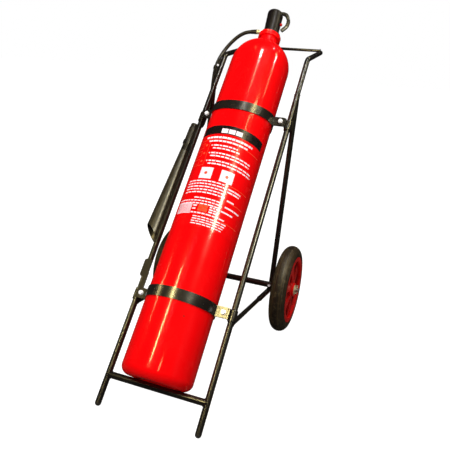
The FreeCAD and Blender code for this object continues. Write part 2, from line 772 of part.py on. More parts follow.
def split_pin(side):
    """A cotter with a round eye at its top and two legs bent apart at the bottom."""
    x = WHEEL_X + HUB_OUTER + 8.5
    shank = rod(Vector(x, AXLE_N, AXLE_U - 13), Vector(x, AXLE_N, AXLE_U + 12), 2.0)
    eye = aim(Part.makeTorus(3.6, 1.6), Vector(x, AXLE_N, AXLE_U + 15), X_AXIS)
    left_leg = rod(Vector(x, AXLE_N, AXLE_U - 12), Vector(x + 7, AXLE_N - 5, AXLE_U - 17), 1.3)
    return mirror_sign(shank.fuse(eye).fuse(left_leg), side)


# ---- wheels ----
def on_wheel(shape, side):
    placed = aim(shape, Vector(WHEEL_X, AXLE_N, AXLE_U), X_AXIS)
    return mirror_sign(placed, side)


def tyre(side):
    centre = WHEEL_RADIUS - TYRE_SECTION
    body = Part.makeTorus(centre, TYRE_SECTION)
    body = body.cut(Part.makeCylinder(RIM_RADIUS, 80, Vector(0, 0, -40)))
    for angle in (-66, -40, -24, -8, 8, 24, 40, 66):
        radial = centre + TYRE_SECTION * math.cos(math.radians(angle))
        across = TYRE_SECTION * math.sin(math.radians(angle))
        groove = Part.makeTorus(radial, 0.9)
        groove.translate(Vector(0, 0, across))
        body = body.cut(groove)
    return on_wheel(body, side)


def spoke_window(index):
    """A wedge-shaped opening between two spokes, rounded at its corners."""
    half = math.radians(16.0)
    inner, outer = 35.0, 104.0
    points = [Vector(radius * math.cos(angle), radius * math.sin(angle), -40)
              for radius, angle in ((inner, -half), (outer, -half), (outer + 4, 0), (outer, half),
                                    (inner, half))]
    face = Part.Face(Part.makePolygon(points + points[:1]))
    window = face.extrude(Vector(0, 0, 80))
    upright = [edge for edge in window.Edges if edge.Length > 79]
    window = window.makeFillet(4.0, upright)
    window.rotate(Vector(0, 0, 0), U_AXIS, 90 + LEAN + 360 / SPOKES * index)
    return window


def wheel_centre(side):
    """Moulded centre: hub, six wedge spokes and the rim that carries the tyre."""
    width = RIM_HALF_WIDTH
    rim = turned([(106, -width + 2), (108, -width), (RIM_RADIUS + 1.2, -width),
                  (RIM_RADIUS + 1.2, -width + 1.0), (RIM_RADIUS, -width + 1.2),
                  (RIM_RADIUS, width - 1.2), (RIM_RADIUS + 1.2, width - 1.0),
                  (RIM_RADIUS + 1.2, width), (108, width), (106, width - 2)])
    hub = ring(HUB_RADIUS, AXLE_RADIUS + 4.0, HUB_INNER, HUB_OUTER - HUB_INNER)
    web = turned([(HUB_RADIUS - 1, -14), (107, -10), (107, 17), (HUB_RADIUS - 1, 24)])
    centre = rim.fuse(web)
    for index in range(SPOKES):
        centre = centre.cut(spoke_window(index))
    return on_wheel(centre.fuse(hub).removeSplitter(), side)


def wheel_bushes(side):
    """Two plain bushes, one pressed into each end of the hub."""
    bore = AXLE_RADIUS + RUNNING
    outer = ring(AXLE_RADIUS + 4.0, bore, HUB_OUTER - 24, 24)
    inner = ring(AXLE_RADIUS + 4.0, bore, HUB_INNER, 24)
    return on_wheel(group([outer, inner]), side)


# ---- brackets on the left side tube ----
def rounded_plate(low, high, radius):
    plate = box(low, high)
    corners = [edge for edge in plate.Edges if abs(edge.tangentAt(0).y) > 0.9]
    return plate.makeFillet(radius, corners)


def horn_rest():
    """A plate that shares the lower left strap bolt and runs up in front of the tube."""
    face = CYLINDER_N - STRAP_THICKNESS
    front = face - STRAP_THICKNESS
    foot = rounded_plate(Vector(-156, front, LOWER_STRAP_U - 17), Vector(-127.5, face, 372), 5)
    strip = box(Vector(-154, front, 362), Vector(-138, face, 425))
    pad = rounded_plate(Vector(-167, front, 408), Vector(-141, face, 469), 8)
    hole = Part.makeCylinder(4.15, 50, Vector(-BOLT_X, -50, LOWER_STRAP_U), N_AXIS)
    stand = box(Vector(-166, face, 440), Vector(-158, 0, 458))
    stand = stand.cut(side_solid(-1, 400, 520, TUBE_RADIUS))
    return foot.fuse(strip).fuse(pad).cut(hole).fuse(stand).removeSplitter()


def clip_place():
    """Centre and direction of the hose clip, at the middle of one of the hose's bends."""
    before, corner, after = HOSE_ROUTE[CLIP_CORNER - 1:CLIP_CORNER + 2]
    along = (corner - before).normalize()
    onward = (after - corner).normalize()
    radius = widest_bends(HOSE_ROUTE)[CLIP_CORNER - 1]
    inward = (onward - along).normalize()
    rise = radius / math.cos(along.getAngle(onward) / 2) - radius
    return corner + inward * rise, (along + onward).normalize()


def clip_tab_n():
    """Front face of the clip's tab, which touches the back of the bracket."""
    return clip_place()[0].y - HOSE_RADIUS - 1.8


def clip_bolt_hole():
    height = clip_place()[0].z
    return Part.makeCylinder(2.6, 40, Vector(CLIP_BOLT_X, -20, height), N_AXIS)


def hose_bracket():
    """A flat bar welded along the outside of the left side tube near its top."""
    back = clip_tab_n()
    bar = rounded_plate(Vector(-186, back - 3, 1250), Vector(-168, back, 1336), 1.5)
    bar = bar.cut(side_solid(-1, 1150, 1338, TUBE_RADIUS))
    return bar.cut(clip_bolt_hole())


def hose_clip():
    """A band round the hose with a tab behind the bracket."""
    centre, axis = clip_place()
    front = clip_tab_n()
    band = aim(ring(HOSE_RADIUS + 1.8, HOSE_RADIUS + 0.5, -6, 12), centre, axis)
    tab = box(Vector(centre.x, front, centre.z - 6), Vector(-173.5, front + 2, centre.z + 6))
    tab = tab.cut(rod(centre - axis * 20, centre + axis * 20, HOSE_RADIUS + 0.5))
    return band.fuse(tab.cut(clip_bolt_hole())).removeSplitter()


def clip_bolt():
    height = clip_place()[0].z
    back = clip_tab_n()
    bolt = aim(hex_bolt(8.0, 4.0, 2.5, 9.5), Vector(CLIP_BOLT_X, back - 3, height), Vector(0, -1, 0))
    nut = hexagon(8.0, 4.0).cut(Part.makeCylinder(2.55, 4.0))
    return group([bolt, aim(nut, Vector(CLIP_BOLT_X, back + 2, height), N_AXIS)])


# ---- lean, placing and export ----
def solve_lean():
    """The angle at which the foot plugs' facets and the tyres stand on one floor."""
    rise = AXLE_U - TUBE_RADIUS
    drop = WHEEL_RADIUS - (TUBE_RADIUS - FOOT_FACET)
    reach = math.hypot(rise, AXLE_N)
    return math.degrees(math.acos(drop / reach) - math.atan2(AXLE_N, rise))


LEAN = solve_lean()


def both(make):
    return group([make(-1), make(1)])


def build():
    nodes = {
        "cylinder_shell": cylinder_shell(),
        "neck_ring": neck_ring(),
        "label_film": label_film(),
        "dip_tube": dip_tube(),
        "valve_body": valve_body(),
        "flange_ring": flange_ring(),
        "valve_shroud": valve_shroud(),
        "burst_disc_cap": burst_disc_cap(),
        "lever_pivot_pin": lever_pivot_pin(),
        "operating_lever": operating_lever(),
        "safety_pin": safety_pin(),
        "pin_ring": pin_ring(),
        "valve_stem": valve_stem(),
        "valve_seal": valve_seal(),
        "stem_spring": stem_spring(),
        "outlet_nut": outlet_nut(),
        "hose_ferrule_top": hose_ferrule_top(),
        "discharge_hose": discharge_hose(),
        "grip_elbow": grip_elbow(),
        "horn_grip": horn_grip(),
        "horn_collar": horn_collar(),
        "horn": horn(),
        "horn_clip": horn_clip(),
        "horn_rest": horn_rest(),
        "hose_bracket": hose_bracket(),
        "hose_clip": hose_clip(),
        "clip_bolt": clip_bolt(),
        "handle_bar": handle_bar(),
        "handle_plugs": both(handle_plug),
        "lower_crossbar": lower_crossbar(),
        "foot_plugs": both(foot_plug),
        "upper_saddle": saddle(UPPER_STRAP_U),
        "lower_saddle": saddle(LOWER_STRAP_U),
        "upper_strap": strap(UPPER_STRAP_U, UPPER_STRAP_DIP),
        "lower_strap": strap(LOWER_STRAP_U, LOWER_STRAP_DIP),
        "strap_bolts": group([strap_bolt(*place) for place in strap_places()]),
        "strap_washers": group([strap_washer(*place) for place in strap_places()]),
        "strap_nuts": group([strap_nut(*place) for place in strap_places()]),
        "axle_tube": axle_tube(),
        "axle": axle(),
        "axle_bolt_bosses": both(bolt_boss),
        "axle_lock_bolts": both(axle_lock_bolt),
        "hub_washers": both(hub_washers),
        "split_pins": both(split_pin),
    }
    for name, side in (("left", -1), ("right", 1)):
        nodes["side_tube_" + name] = side_tube(side)
        nodes["rear_stay_" + name] = rear_stay(side)
        nodes["strut_" + name] = strut(side)
        nodes["tyre_" + name] = tyre(side)
        nodes["wheel_centre_" + name] = wheel_centre(side)
        nodes["wheel_bushes_" + name] = wheel_bushes(side)
    return nodes


def leaned(shape):
    """Lean a piece back about the feet and set the feet's facets on the floor."""
    shape = shape.copy()
    shape.rotate(Vector(0, 0, TUBE_RADIUS), X_AXIS, -LEAN)
    shape.translate(Vector(0, 0, -FOOT_FACET))
    return shape


def middle_shift():
    """Moves the middle of the whole depth, foot plugs to handle ends, to Y = 0."""
    angle = math.radians(LEAN)
    handle_n, handle_u = HANDLE_END
    back = handle_n * math.cos(angle) + (handle_u - TUBE_RADIUS) * math.sin(angle)
    front = -TUBE_RADIUS
    return -(front + back + HANDLE_CAP) / 2


SHIFT_Y = middle_shift()


def report_hose(solid):
    radii = widest_bends(HOSE_ROUTE)
    length = bent_path(HOSE_ROUTE, radii).Length
    section = math.pi * HOSE_RADIUS ** 2
    print("hose length %.1f, volume over section %.1f" % (length, solid.Volume / section))
    print("hose bend radii", " ".join("%.0f" % radius for radius in radii))


def main():
    os.makedirs("parts", exist_ok=True)
    nodes = build()
    report_hose(nodes["discharge_hose"])
    print("lean %.3f degrees, shift %.3f" % (LEAN, SHIFT_Y))
    print("clip", clip_place())
    for name, shape in nodes.items():
        placed = leaned(shape)
        placed.translate(Vector(0, SHIFT_Y, 0))
        placed.exportStep("parts/" + name + ".step")


main()
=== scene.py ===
import json
import math
import random

import bmesh
import bpy
from mathutils import Matrix, Vector


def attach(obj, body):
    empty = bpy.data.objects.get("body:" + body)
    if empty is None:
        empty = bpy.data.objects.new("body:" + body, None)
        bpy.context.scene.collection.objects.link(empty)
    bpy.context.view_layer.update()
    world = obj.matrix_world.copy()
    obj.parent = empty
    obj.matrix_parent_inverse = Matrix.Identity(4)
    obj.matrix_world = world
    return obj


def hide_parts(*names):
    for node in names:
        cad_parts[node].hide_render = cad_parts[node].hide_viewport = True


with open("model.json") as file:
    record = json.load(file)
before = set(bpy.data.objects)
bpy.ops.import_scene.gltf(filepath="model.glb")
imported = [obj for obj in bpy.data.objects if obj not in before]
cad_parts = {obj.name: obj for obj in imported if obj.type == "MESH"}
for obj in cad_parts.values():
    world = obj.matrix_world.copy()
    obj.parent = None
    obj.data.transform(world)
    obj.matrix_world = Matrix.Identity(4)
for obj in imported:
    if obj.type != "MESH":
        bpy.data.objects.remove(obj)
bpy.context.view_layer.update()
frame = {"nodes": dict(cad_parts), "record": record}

# The trolley's own frame, as in the part: x to the right, n backwards from the side tubes,
# u up along them, all in metres, leaned back about the feet.
LEAN = math.radians(45.421)
SHIFT_Y = -0.59406
FOOT_Z = 0.0089
FOOT_U = 0.0095
RIGHT = Vector((1, 0, 0))
BACK = Vector((0, math.cos(LEAN), -math.sin(LEAN)))
UP = Vector((0, math.sin(LEAN), math.cos(LEAN)))

CYLINDER_N = -0.023
LABEL_RADIUS = 0.11
OVERPRINT_RADIUS = LABEL_RADIUS + 0.0002
TUBE_X = 0.163
TUBE_RADIUS = 0.0095
AXLE = (0.353, 0.583)

CROSSBAR_RADIUS = 0.0105
CROSSBAR_U = 0.0952
STAY_TOP_U = 1.195
STAY_CORNER = (0.389, 0.5805)
STRUT_FOOT_U = 0.326
STRUT_RADIUS = 0.0075
STRUT_LENGTH = 0.4648
STRUT_STEP = 0.67 * STRUT_LENGTH
STRAP_LEVELS = (0.355, 1.055)
SLEEVE_RADIUS = 0.0127
SLEEVE_HALF = 0.017
HANDLE_LEG = (0.153, 0.1755)
HANDLE_END = (0.153, 1.5345)
HANDLE_BAR = (0.139, 1.532)
HANDLE_BAR_RADIUS = 0.0055


def turn(x, n, u):
    """A direction in the trolley's frame, as a world direction."""
    return RIGHT * x + BACK * n + UP * u


def at(x, n, u):
    """A point in the trolley's frame, as a world point."""
    return turn(x, n, u - FOOT_U) + Vector((0, SHIFT_Y, FOOT_Z))


def in_scene(name, data):
    """A new object for the scene, such as a lamp, which rides on no body yet."""
    item = bpy.data.objects.new(name, data)
    bpy.context.scene.collection.objects.link(item)
    return item


# ---- camera ----
CAMERA_LENS = 41.475
CAMERA_PLACE = (0.59763, -1.63039, 1.08575)
CAMERA_FORWARD = Vector((-0.32078, 0.87213, -0.36955)).normalized()
CAMERA_DOWN = Vector((0.16638, -0.33232, -0.92837))


def add_camera():
    data = bpy.data.cameras.new("camera")
    data.lens = CAMERA_LENS
    data.sensor_width = 36.0
    data.clip_end = 50.0
    data.dof.use_dof = False
    camera = in_scene("camera", data)
    right = CAMERA_DOWN.cross(CAMERA_FORWARD).normalized()
    up = right.cross(CAMERA_FORWARD)
    rotation = Matrix((right, up, -CAMERA_FORWARD)).transposed()
    camera.matrix_world = Matrix.Translation(CAMERA_PLACE) @ rotation.to_4x4()
    bpy.context.scene.camera = camera


# ---- hose ----
HORN_TOP = Vector((-0.194, 0.021, 1.033))
HORN_LOW = Vector((-0.2035, 0.021, 0.560))
HORN_AXIS = (HORN_LOW - HORN_TOP).normalized()
ELBOW_CENTRE = HORN_TOP + HORN_AXIS * 0.006
ELBOW_AXIS = Vector((0.06, 0.85, 0.53)).normalized()
HOSE_END = ELBOW_CENTRE + ELBOW_AXIS * 0.024
HOSE_RADIUS = 0.007
HOSE_LEAD = 0.0226
HOSE_SLEEVE = 0.026
HOSE_RIB = 0.00035
HOSE_ROUTE = [
    Vector((-0.058, CYLINDER_N, 1.459)),
    Vector((-0.090, CYLINDER_N, 1.459)),
    Vector((-0.124, -0.015, 1.449)),
    Vector((-0.1585, 0.001, 1.424)),
    Vector((-0.1885, 0.015, 1.3745)),
    Vector((-0.1915, 0.0085, 1.3005)),
    Vector((-0.193, 0.038, 1.248)),
    Vector((-0.2035, 0.1015, 1.198)),
    Vector((-0.208, 0.112, 1.1285)),
    Vector((-0.195, 0.085, 1.074)),
    HOSE_END + ELBOW_AXIS * HOSE_LEAD,
    HOSE_END,
]


def carried(path, start):
    """Directions square to a path, turned as little as possible from one point to the next."""
    outward = []
    for index in range(len(path)):
        ahead = path[min(index + 1, len(path) - 1)] - path[max(index - 1, 0)]
        ahead.normalize()
        start = (start - ahead * ahead.dot(start)).normalized()
        outward.append(start)
    return outward


def new_object(name, data, body):
    """A piece of the object, which rides on a body."""
    piece = in_scene(name, data)
    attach(piece, body)
    return piece


def route_curve(name):
    """The hose's route as one NURBS spline."""
    data = bpy.data.curves.new(name, "CURVE")
    data.dimensions = "3D"
    data.resolution_u = 16
    spline = data.splines.new("NURBS")
    spline.points.add(len(HOSE_ROUTE) - 1)
    for point, corner in zip(spline.points, HOSE_ROUTE):
        point.co = (*at(*corner), 1.0)
    spline.order_u = 3
    spline.use_endpoint_u = True
    return data


def hose_line():
    """Points along the hose's own spline."""
    bare = bpy.data.objects.new("hose_line", route_curve("hose_line"))
    mesh = bpy.data.meshes.new_from_object(bare)
    line = [vertex.co.copy() for vertex in mesh.vertices]
    bpy.data.objects.remove(bare)
    return line


# ---- mesh building ----
def finish_mesh(name, bm, body, smooth=True):
    bmesh.ops.recalc_face_normals(bm, faces=bm.faces)
    mesh = bpy.data.meshes.new(name)
    bm.to_mesh(mesh)
    bm.free()
    for face in mesh.polygons:
        face.use_smooth = smooth
    return new_object(name, mesh, body)


def sweep(bm, path, outward, radii, sides=12, closed=False):
    """A tube of changing radius along a path. outward gives each ring's zero direction."""
    rings = []
    count = len(path)
    for index, point in enumerate(path):
        before = path[index - 1] if closed or index > 0 else point
        after = path[(index + 1) % count] if closed or index < count - 1 else point
        along = (after - before).normalized()
        first = (outward[index] - along * along.dot(outward[index])).normalized()
        second = along.cross(first)
        ring = []
        for step in range(sides):
            angle = 2 * math.pi * step / sides
            offset = first * math.cos(angle) + second * math.sin(angle)
            ring.append(bm.verts.new(point + offset * radii[index]))
        rings.append(ring)
    pairs = list(zip(rings, rings[1:]))
    if closed:
        pairs.append((rings[-1], rings[0]))
    for lower, upper in pairs:
        for step in range(sides):
            following = (step + 1) % sides
            bm.faces.new((lower[step], lower[following], upper[following], upper[step]))
    if not closed:
        bm.faces.new(rings[0])
        bm.faces.new(rings[-1])


def saddle_curve(start, direction, radius, other, other_direction, other_radius, steps=40):
    """The closed line where a tube that starts inside another leaves its surface."""
    side = direction.orthogonal().normalized()
    front = direction.cross(side)
    points = []
    for step in range(steps):
        angle = 2 * math.pi * step / steps
        edge = start + (side * math.cos(angle) + front * math.sin(angle)) * radius
        gap = edge - other
        gap -= other_direction * gap.dot(other_direction)
        run = direction - other_direction * direction.dot(other_direction)
        a = run.dot(run)
        b = 2 * gap.dot(run)
        c = gap.dot(gap) - other_radius ** 2
        root = math.sqrt(max(b * b - 4 * a * c, 0))
        points.append(edge + direction * ((root - b) / (2 * a)))
    return points


def weld(bm, points, bead, seed):
    """A rippled bead along a closed line."""
    rng = random.Random(seed)
    middle = sum(points, Vector()) / len(points)
    world = [at(*point) for point in points]
    outward = [turn(*(point - middle)) for point in points]
    radii = [bead * (0.9 + 0.16 * math.cos(math.pi * step) + 0.1 * rng.random())
             for step in range(len(points))]
    sweep(bm, world, outward, radii, 8, closed=True)


def ring_points(centre, axis, radius, steps=40):
    side = axis.orthogonal().normalized()
    front = axis.cross(side)
    return [centre + (side * math.cos(angle) + front * math.sin(angle)) * radius
            for angle in (2 * math.pi * step / steps for step in range(steps))]


# ---- printed label ----
def print_patch(bm, left, right, low, high, radius=LABEL_RADIUS):
    """A curved patch of print: angles in degrees from the front, heights in millimetres."""
    steps = max(1, round((right - left) / 3))
    columns = []
    for step in range(steps + 1):
        angle = math.radians(left + (right - left) * step / steps)
        x = radius * math.sin(angle)
        n = CYLINDER_N - radius * math.cos(angle)
        columns.append([bm.verts.new(at(x, n, level / 1000)) for level in (low, high)])
    for near, far in zip(columns, columns[1:]):
        bm.faces.new((near[0], far[0], far[1], near[1]))


def dash_row(bm, left, right, middle, height, rng, word=(4, 10), gap=1.4):
    """A row of plain dashes of uneven length that stands for a line of print."""
    start = left
    while start < right - 1:
        end = min(start + rng.uniform(*word), right)
        print_patch(bm, start, end, middle - height / 2, middle + height / 2)
        start = end + gap


def outline(bm, left, right, low, high, line):
    """A printed frame: angles in degrees, heights and the line's thickness in millimetres."""
    across = math.degrees(line / 1000 / LABEL_RADIUS)
    print_patch(bm, left, right, high - line, high)
    print_patch(bm, left, right, low, low + line)
    print_patch(bm, left, left + across, low, high)
    print_patch(bm, right - across, right, low, high)


def disc(bm, middle, height, size, radius=LABEL_RADIUS):
    """A round spot of print: its middle in degrees, its height and radius in millimetres."""
    rim = []
    for step in range(20):
        turned = 2 * math.pi * step / 20
        angle = math.radians(middle) + size / 1000 * math.cos(turned) / radius
        level = height / 1000 + size / 1000 * math.sin(turned)
        rim.append(bm.verts.new(at(radius * math.sin(angle),
                                   CYLINDER_N - radius * math.cos(angle), level)))
    bm.faces.new(rim)


def label_white():
    """Heading blocks, a title, three steps, two squares and rows of small print, all plain."""
    rng = random.Random(7)
    bm = bmesh.new()
    for start in (-6.5, 6.5, 19.5):
        print_patch(bm, start, start + 11.5, 912, 929, OVERPRINT_RADIUS)
    dash_row(bm, -33, 56, 894, 7.6, rng, (5, 11), 1.1)
    dash_row(bm, -25, 49, 880, 6.0, rng, (5, 11), 1.1)
    for group, (first_end, second_end) in enumerate(((31, 38), (64, 61), (71, 71))):
        top = 863 - 29.5 * group
        disc(bm, -16, top, 2.6)
        dash_row(bm, -12.5, first_end, top, 4.8, rng)
        dash_row(bm, -12.5, second_end, top - 11, 4.8, rng)
    for start in (-21, 16.5):
        print_patch(bm, start, start + 23, 737, 778)
    for row in range(5):
        dash_row(bm, -41, 30 + 1.2 * row, 728 - 10.3 * row, 4.2, rng)
    dash_row(bm, -15, 30, 667, 4, rng)
    dash_row(bm, -47, 30, 657, 4, rng)
    dash_row(bm, -47, 30, 647.5, 4, rng)
    for row in range(9):
        print_patch(bm, -47, -14, 611 + 4 * row, 613.4 + 4 * row)
    dash_row(bm, -12, -5, 639, 4.5, rng)
    dash_row(bm, -12, -6, 628, 4.5, rng)
    dash_row(bm, -12.5, 48, 615, 4.5, rng)
    for row in range(4):
        dash_row(bm, -6.5, 52 - 2 * row, 603 - 8 * row, 3.4, rng)
    for row in range(3):
        dash_row(bm, 17, 32, 641 - 8 * row, 4.5, rng, (3, 6))
    for left, right, middle in ((36, 62, 720), (36, 60, 710), (40, 54, 682), (40, 73, 659),
                                (36, 59, 641)):
        dash_row(bm, left, right, middle, 5, rng, (7, 20), 1.0)
    return finish_mesh("label_white_blocks", bm, "trolley")


def label_black():
    """The band behind the heading blocks."""
    bm = bmesh.new()
    print_patch(bm, -52, 77, 908, 942)
    return finish_mesh("label_black_band", bm, "trolley")


def label_orange():
    """Thin rules, a panel of framed spots, and the spots on the two white squares."""
    bm = bmesh.new()
    for left, right, level in ((44, 77, 875), (38, 77, 732), (39, 77, 678), (41, 77, 609)):
        print_patch(bm, left, right, level - 0.9, level + 0.9)
    outline(bm, -57, -21, 787, 886, 1.4)
    for low in (793, 824, 855):
        outline(bm, -50, -34, low, low + 20, 1.2)
        disc(bm, -28, low + 10, 4.5)
    for middle in (-9.5, 28):
        disc(bm, middle, 757, 5.5, OVERPRINT_RADIUS)
    print_patch(bm, -2, 14, 622, 646)
    return finish_mesh("label_orange_lines", bm, "trolley")


# ---- welds and hose ends ----
def frame_welds():
    """Beads round the frame's joints. Each kind of bead has its own seed on each side."""
    bm = bmesh.new()
    u_axis = Vector((0, 0, 1))
    for side in (-1, 1):
        tube = Vector((side * TUBE_X, 0, 0))
        inward = Vector((-side, 0, 0))
        corner = Vector((side * TUBE_X, *STAY_CORNER))
        crossbar = Vector((side * TUBE_X, 0, CROSSBAR_U))
        weld(bm, saddle_curve(crossbar, inward, CROSSBAR_RADIUS, tube, u_axis, TUBE_RADIUS),
             0.0022, side)
        stay_top = Vector((side * TUBE_X, 0, STAY_TOP_U))
        stay_axis = (corner - stay_top).normalized()
        weld(bm, saddle_curve(stay_top, stay_axis, TUBE_RADIUS, tube, u_axis, TUBE_RADIUS),
             0.0020, 3 + side)
        strut_foot = Vector((side * TUBE_X, 0, STRUT_FOOT_U))
        strut_axis = (corner - strut_foot).normalized()
        weld(bm, saddle_curve(strut_foot, strut_axis, STRUT_RADIUS, tube, u_axis, SLEEVE_RADIUS),
             0.0020, 6 + side)
        step = strut_foot + strut_axis * STRUT_STEP
        weld(bm, ring_points(step, strut_axis, STRUT_RADIUS + 0.0009), 0.0016, 9 + side)
        leg = Vector((0, *HANDLE_LEG)).normalized()
        leg_end = Vector((side * TUBE_X, *HANDLE_END))
        bar = Vector((side * TUBE_X, *HANDLE_BAR))
        weld(bm, saddle_curve(bar, inward, HANDLE_BAR_RADIUS, leg_end, leg, TUBE_RADIUS),
             0.0018, 12 + side)
        for height in STRAP_LEVELS:
            for end in (-SLEEVE_HALF, SLEEVE_HALF):
                centre = Vector((side * TUBE_X, 0, height + end))
                weld(bm, ring_points(centre, u_axis, TUBE_RADIUS + 0.0013), 0.0019, 15 + side)
    return finish_mesh("weld_beads", bm, "trolley")


def hose_sleeve(name, line, first, last):
    """A tapered, ribbed rubber sleeve over one end of the hose."""
    bm = bmesh.new()
    path = []
    radii = []
    walked = 0.0
    for near, far in zip(line, line[1:]):
        if walked > HOSE_SLEEVE:
            break
        share = walked / HOSE_SLEEVE
        rib = HOSE_RIB if len(path) % 2 else 0.0
        path.append(near)
        radii.append(first + (last - first) * share + rib)
        walked += (far - near).length
    sweep(bm, path, carried(path, BACK.cross(path[1] - path[0])), radii, 24)
    return finish_mesh(name, bm, "trolley")


def hose_tube(line):
    bm = bmesh.new()
    sweep(bm, line, carried(line, UP), [HOSE_RADIUS] * len(line), 24)
    return finish_mesh("hose", bm, "trolley")


add_camera()

line = hose_line()
hose = hose_tube(line)
sleeve_top = hose_sleeve("hose_sleeve_top", line, 0.0087, 0.0074)
sleeve_low = hose_sleeve("hose_sleeve_low", line[::-1], 0.0084, 0.0074)
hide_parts("discharge_hose")

print_white = label_white()
print_black = label_black()
print_orange = label_orange()
welds = frame_welds()


# ---- materials ----
def shader_of(material):
    return material.node_tree.nodes["Principled BSDF"]


def base(name, colour, roughness, metallic=0.0, specular=0.5, coat=0.0, coat_roughness=0.05):
    material = bpy.data.materials.new(name)
    material.use_nodes = True
    shader = shader_of(material)
    shader.inputs["Base Color"].default_value = (*colour, 1)
    shader.inputs["Roughness"].default_value = roughness
    shader.inputs["Metallic"].default_value = metallic
    shader.inputs["Specular IOR Level"].default_value = specular
    shader.inputs["Coat Weight"].default_value = coat
    shader.inputs["Coat Roughness"].default_value = coat_roughness
    return material


def noise(material, scale, low, high, detail=4.0, stretch=(1, 1, 1)):
    """Object-space noise, spread to run from 0 to 1 between two levels."""
    tree = material.node_tree
    place = tree.nodes.new("ShaderNodeTexCoord")
    mapping = tree.nodes.new("ShaderNodeMapping")
    mapping.inputs["Scale"].default_value = stretch
    texture = tree.nodes.new("ShaderNodeTexNoise")
    texture.inputs["Scale"].default_value = scale
    texture.inputs["Detail"].default_value = detail
    spread = tree.nodes.new("ShaderNodeMapRange")
    spread.inputs["From Min"].default_value = low
    spread.inputs["From Max"].default_value = high
    tree.links.new(place.outputs["Object"], mapping.inputs["Vector"])
    tree.links.new(mapping.outputs["Vector"], texture.inputs["Vector"])
    tree.links.new(texture.outputs["Fac"], spread.inputs["Value"])
    return spread.outputs["Result"]


def tint(material, share, colour):
    """Mix a second colour over the base by a share."""
    tree = material.node_tree
    target = shader_of(material).inputs["Base Color"]
    mix = tree.nodes.new("ShaderNodeMix")
    mix.data_type = "RGBA"
    if target.is_linked:
        tree.links.new(target.links[0].from_socket, mix.inputs[6])
    else:
        mix.inputs[6].default_value = target.default_value
    mix.inputs[7].default_value = (*colour, 1)
    tree.links.new(share, mix.inputs["Factor"])
    tree.links.new(mix.outputs[2], target)
    return material


def uneven_gloss(material, scale, low, high):
    """Roughness that wanders between two levels."""
    tree = material.node_tree
    spread = tree.nodes.new("ShaderNodeMapRange")
    spread.inputs["To Min"].default_value = low
    spread.inputs["To Max"].default_value = high
    tree.links.new(noise(material, scale, 0.3, 0.7), spread.inputs["Value"])
    tree.links.new(spread.outputs["Result"], shader_of(material).inputs["Roughness"])
    return material


def bumps(material, height, strength, distance):
    tree = material.node_tree
    bump = tree.nodes.new("ShaderNodeBump")
    bump.inputs["Strength"].default_value = strength
    bump.inputs["Distance"].default_value = distance
    tree.links.new(height, bump.inputs["Height"])
    tree.links.new(bump.outputs["Normal"], shader_of(material).inputs["Normal"])
    return material


def scaled(material, socket, amount):
    """A socket's value times a number."""
    tree = material.node_tree
    product = tree.nodes.new("ShaderNodeMath")
    product.operation = "MULTIPLY"
    product.inputs[1].default_value = amount
    tree.links.new(socket, product.inputs[0])
    return product.outputs[0]


RIDGE_RATE = 1250.0


def tyre_rings(material):
    """Fine ridges round the tyre: a sine of the distance to the axle, in radians per metre."""
    tree = material.node_tree
    place = tree.nodes.new("ShaderNodeTexCoord")
    shift = tree.nodes.new("ShaderNodeVectorMath")
    shift.operation = "SUBTRACT"
    shift.inputs[1].default_value = at(0, *AXLE)
    flatten = tree.nodes.new("ShaderNodeVectorMath")
    flatten.operation = "MULTIPLY"
    flatten.inputs[1].default_value = (0, 1, 1)
    length = tree.nodes.new("ShaderNodeVectorMath")
    length.operation = "LENGTH"
    sine = tree.nodes.new("ShaderNodeMath")
    sine.operation = "SINE"
    tree.links.new(place.outputs["Object"], shift.inputs[0])
    tree.links.new(shift.outputs[0], flatten.inputs[0])
    tree.links.new(flatten.outputs[0], length.inputs[0])
    tree.links.new(scaled(material, length.outputs["Value"], RIDGE_RATE), sine.inputs[0])
    lifted = tree.nodes.new("ShaderNodeMapRange")
    lifted.inputs["From Min"].default_value = -1.0
    tree.links.new(sine.outputs[0], lifted.inputs["Value"])
    return lifted.outputs["Result"]


def red_paint(name="red_paint", coat=0.42, coat_roughness=0.07):
    paint = base(name, (0.91, 0.0008, 0.002), 0.2, specular=0.04,
                 coat=coat, coat_roughness=coat_roughness)
    tint(paint, scaled(paint, noise(paint, 5.0, 0.45, 0.75), 0.35), (0.80, 0.0010, 0.002))
    tint(paint, noise(paint, 60.0, 0.765, 0.78, 2.0), (0.20, 0.02, 0.012))
    uneven_gloss(paint, 18.0, 0.20, 0.30)
    return bumps(paint, noise(paint, 500.0, 0.2, 0.8, 2.0), 0.04, 0.0002)


def black_enamel():
    paint = base("black_enamel", (0.006, 0.0045, 0.004), 0.28,
                 specular=0.75, coat=0.22, coat_roughness=0.2)
    tint(paint, scaled(paint, noise(paint, 28.0, 0.45, 0.8), 0.4), (0.022, 0.014, 0.007))
    tint(paint, scaled(paint, noise(paint, 90.0, 0.74, 0.78, 2.0), 0.5), (0.06, 0.035, 0.018))
    uneven_gloss(paint, 12.0, 0.26, 0.33)
    return bumps(paint, noise(paint, 60.0, 0.2, 0.8, 1.0), 0.04, 0.0003)


def satin_black(name, colour, low, high, grain, specular=0.5):
    paint = base(name, colour, low, specular=specular)
    warm = [colour[0] * 1.9 + 0.004, colour[1] * 1.8 + 0.003, colour[2] * 1.5]
    tint(paint, scaled(paint, noise(paint, 35.0, 0.45, 0.8), 0.5), warm)
    uneven_gloss(paint, 55.0, low, high)
    return bumps(paint, noise(paint, grain, 0.2, 0.8, 2.0), 0.05, 0.0002)


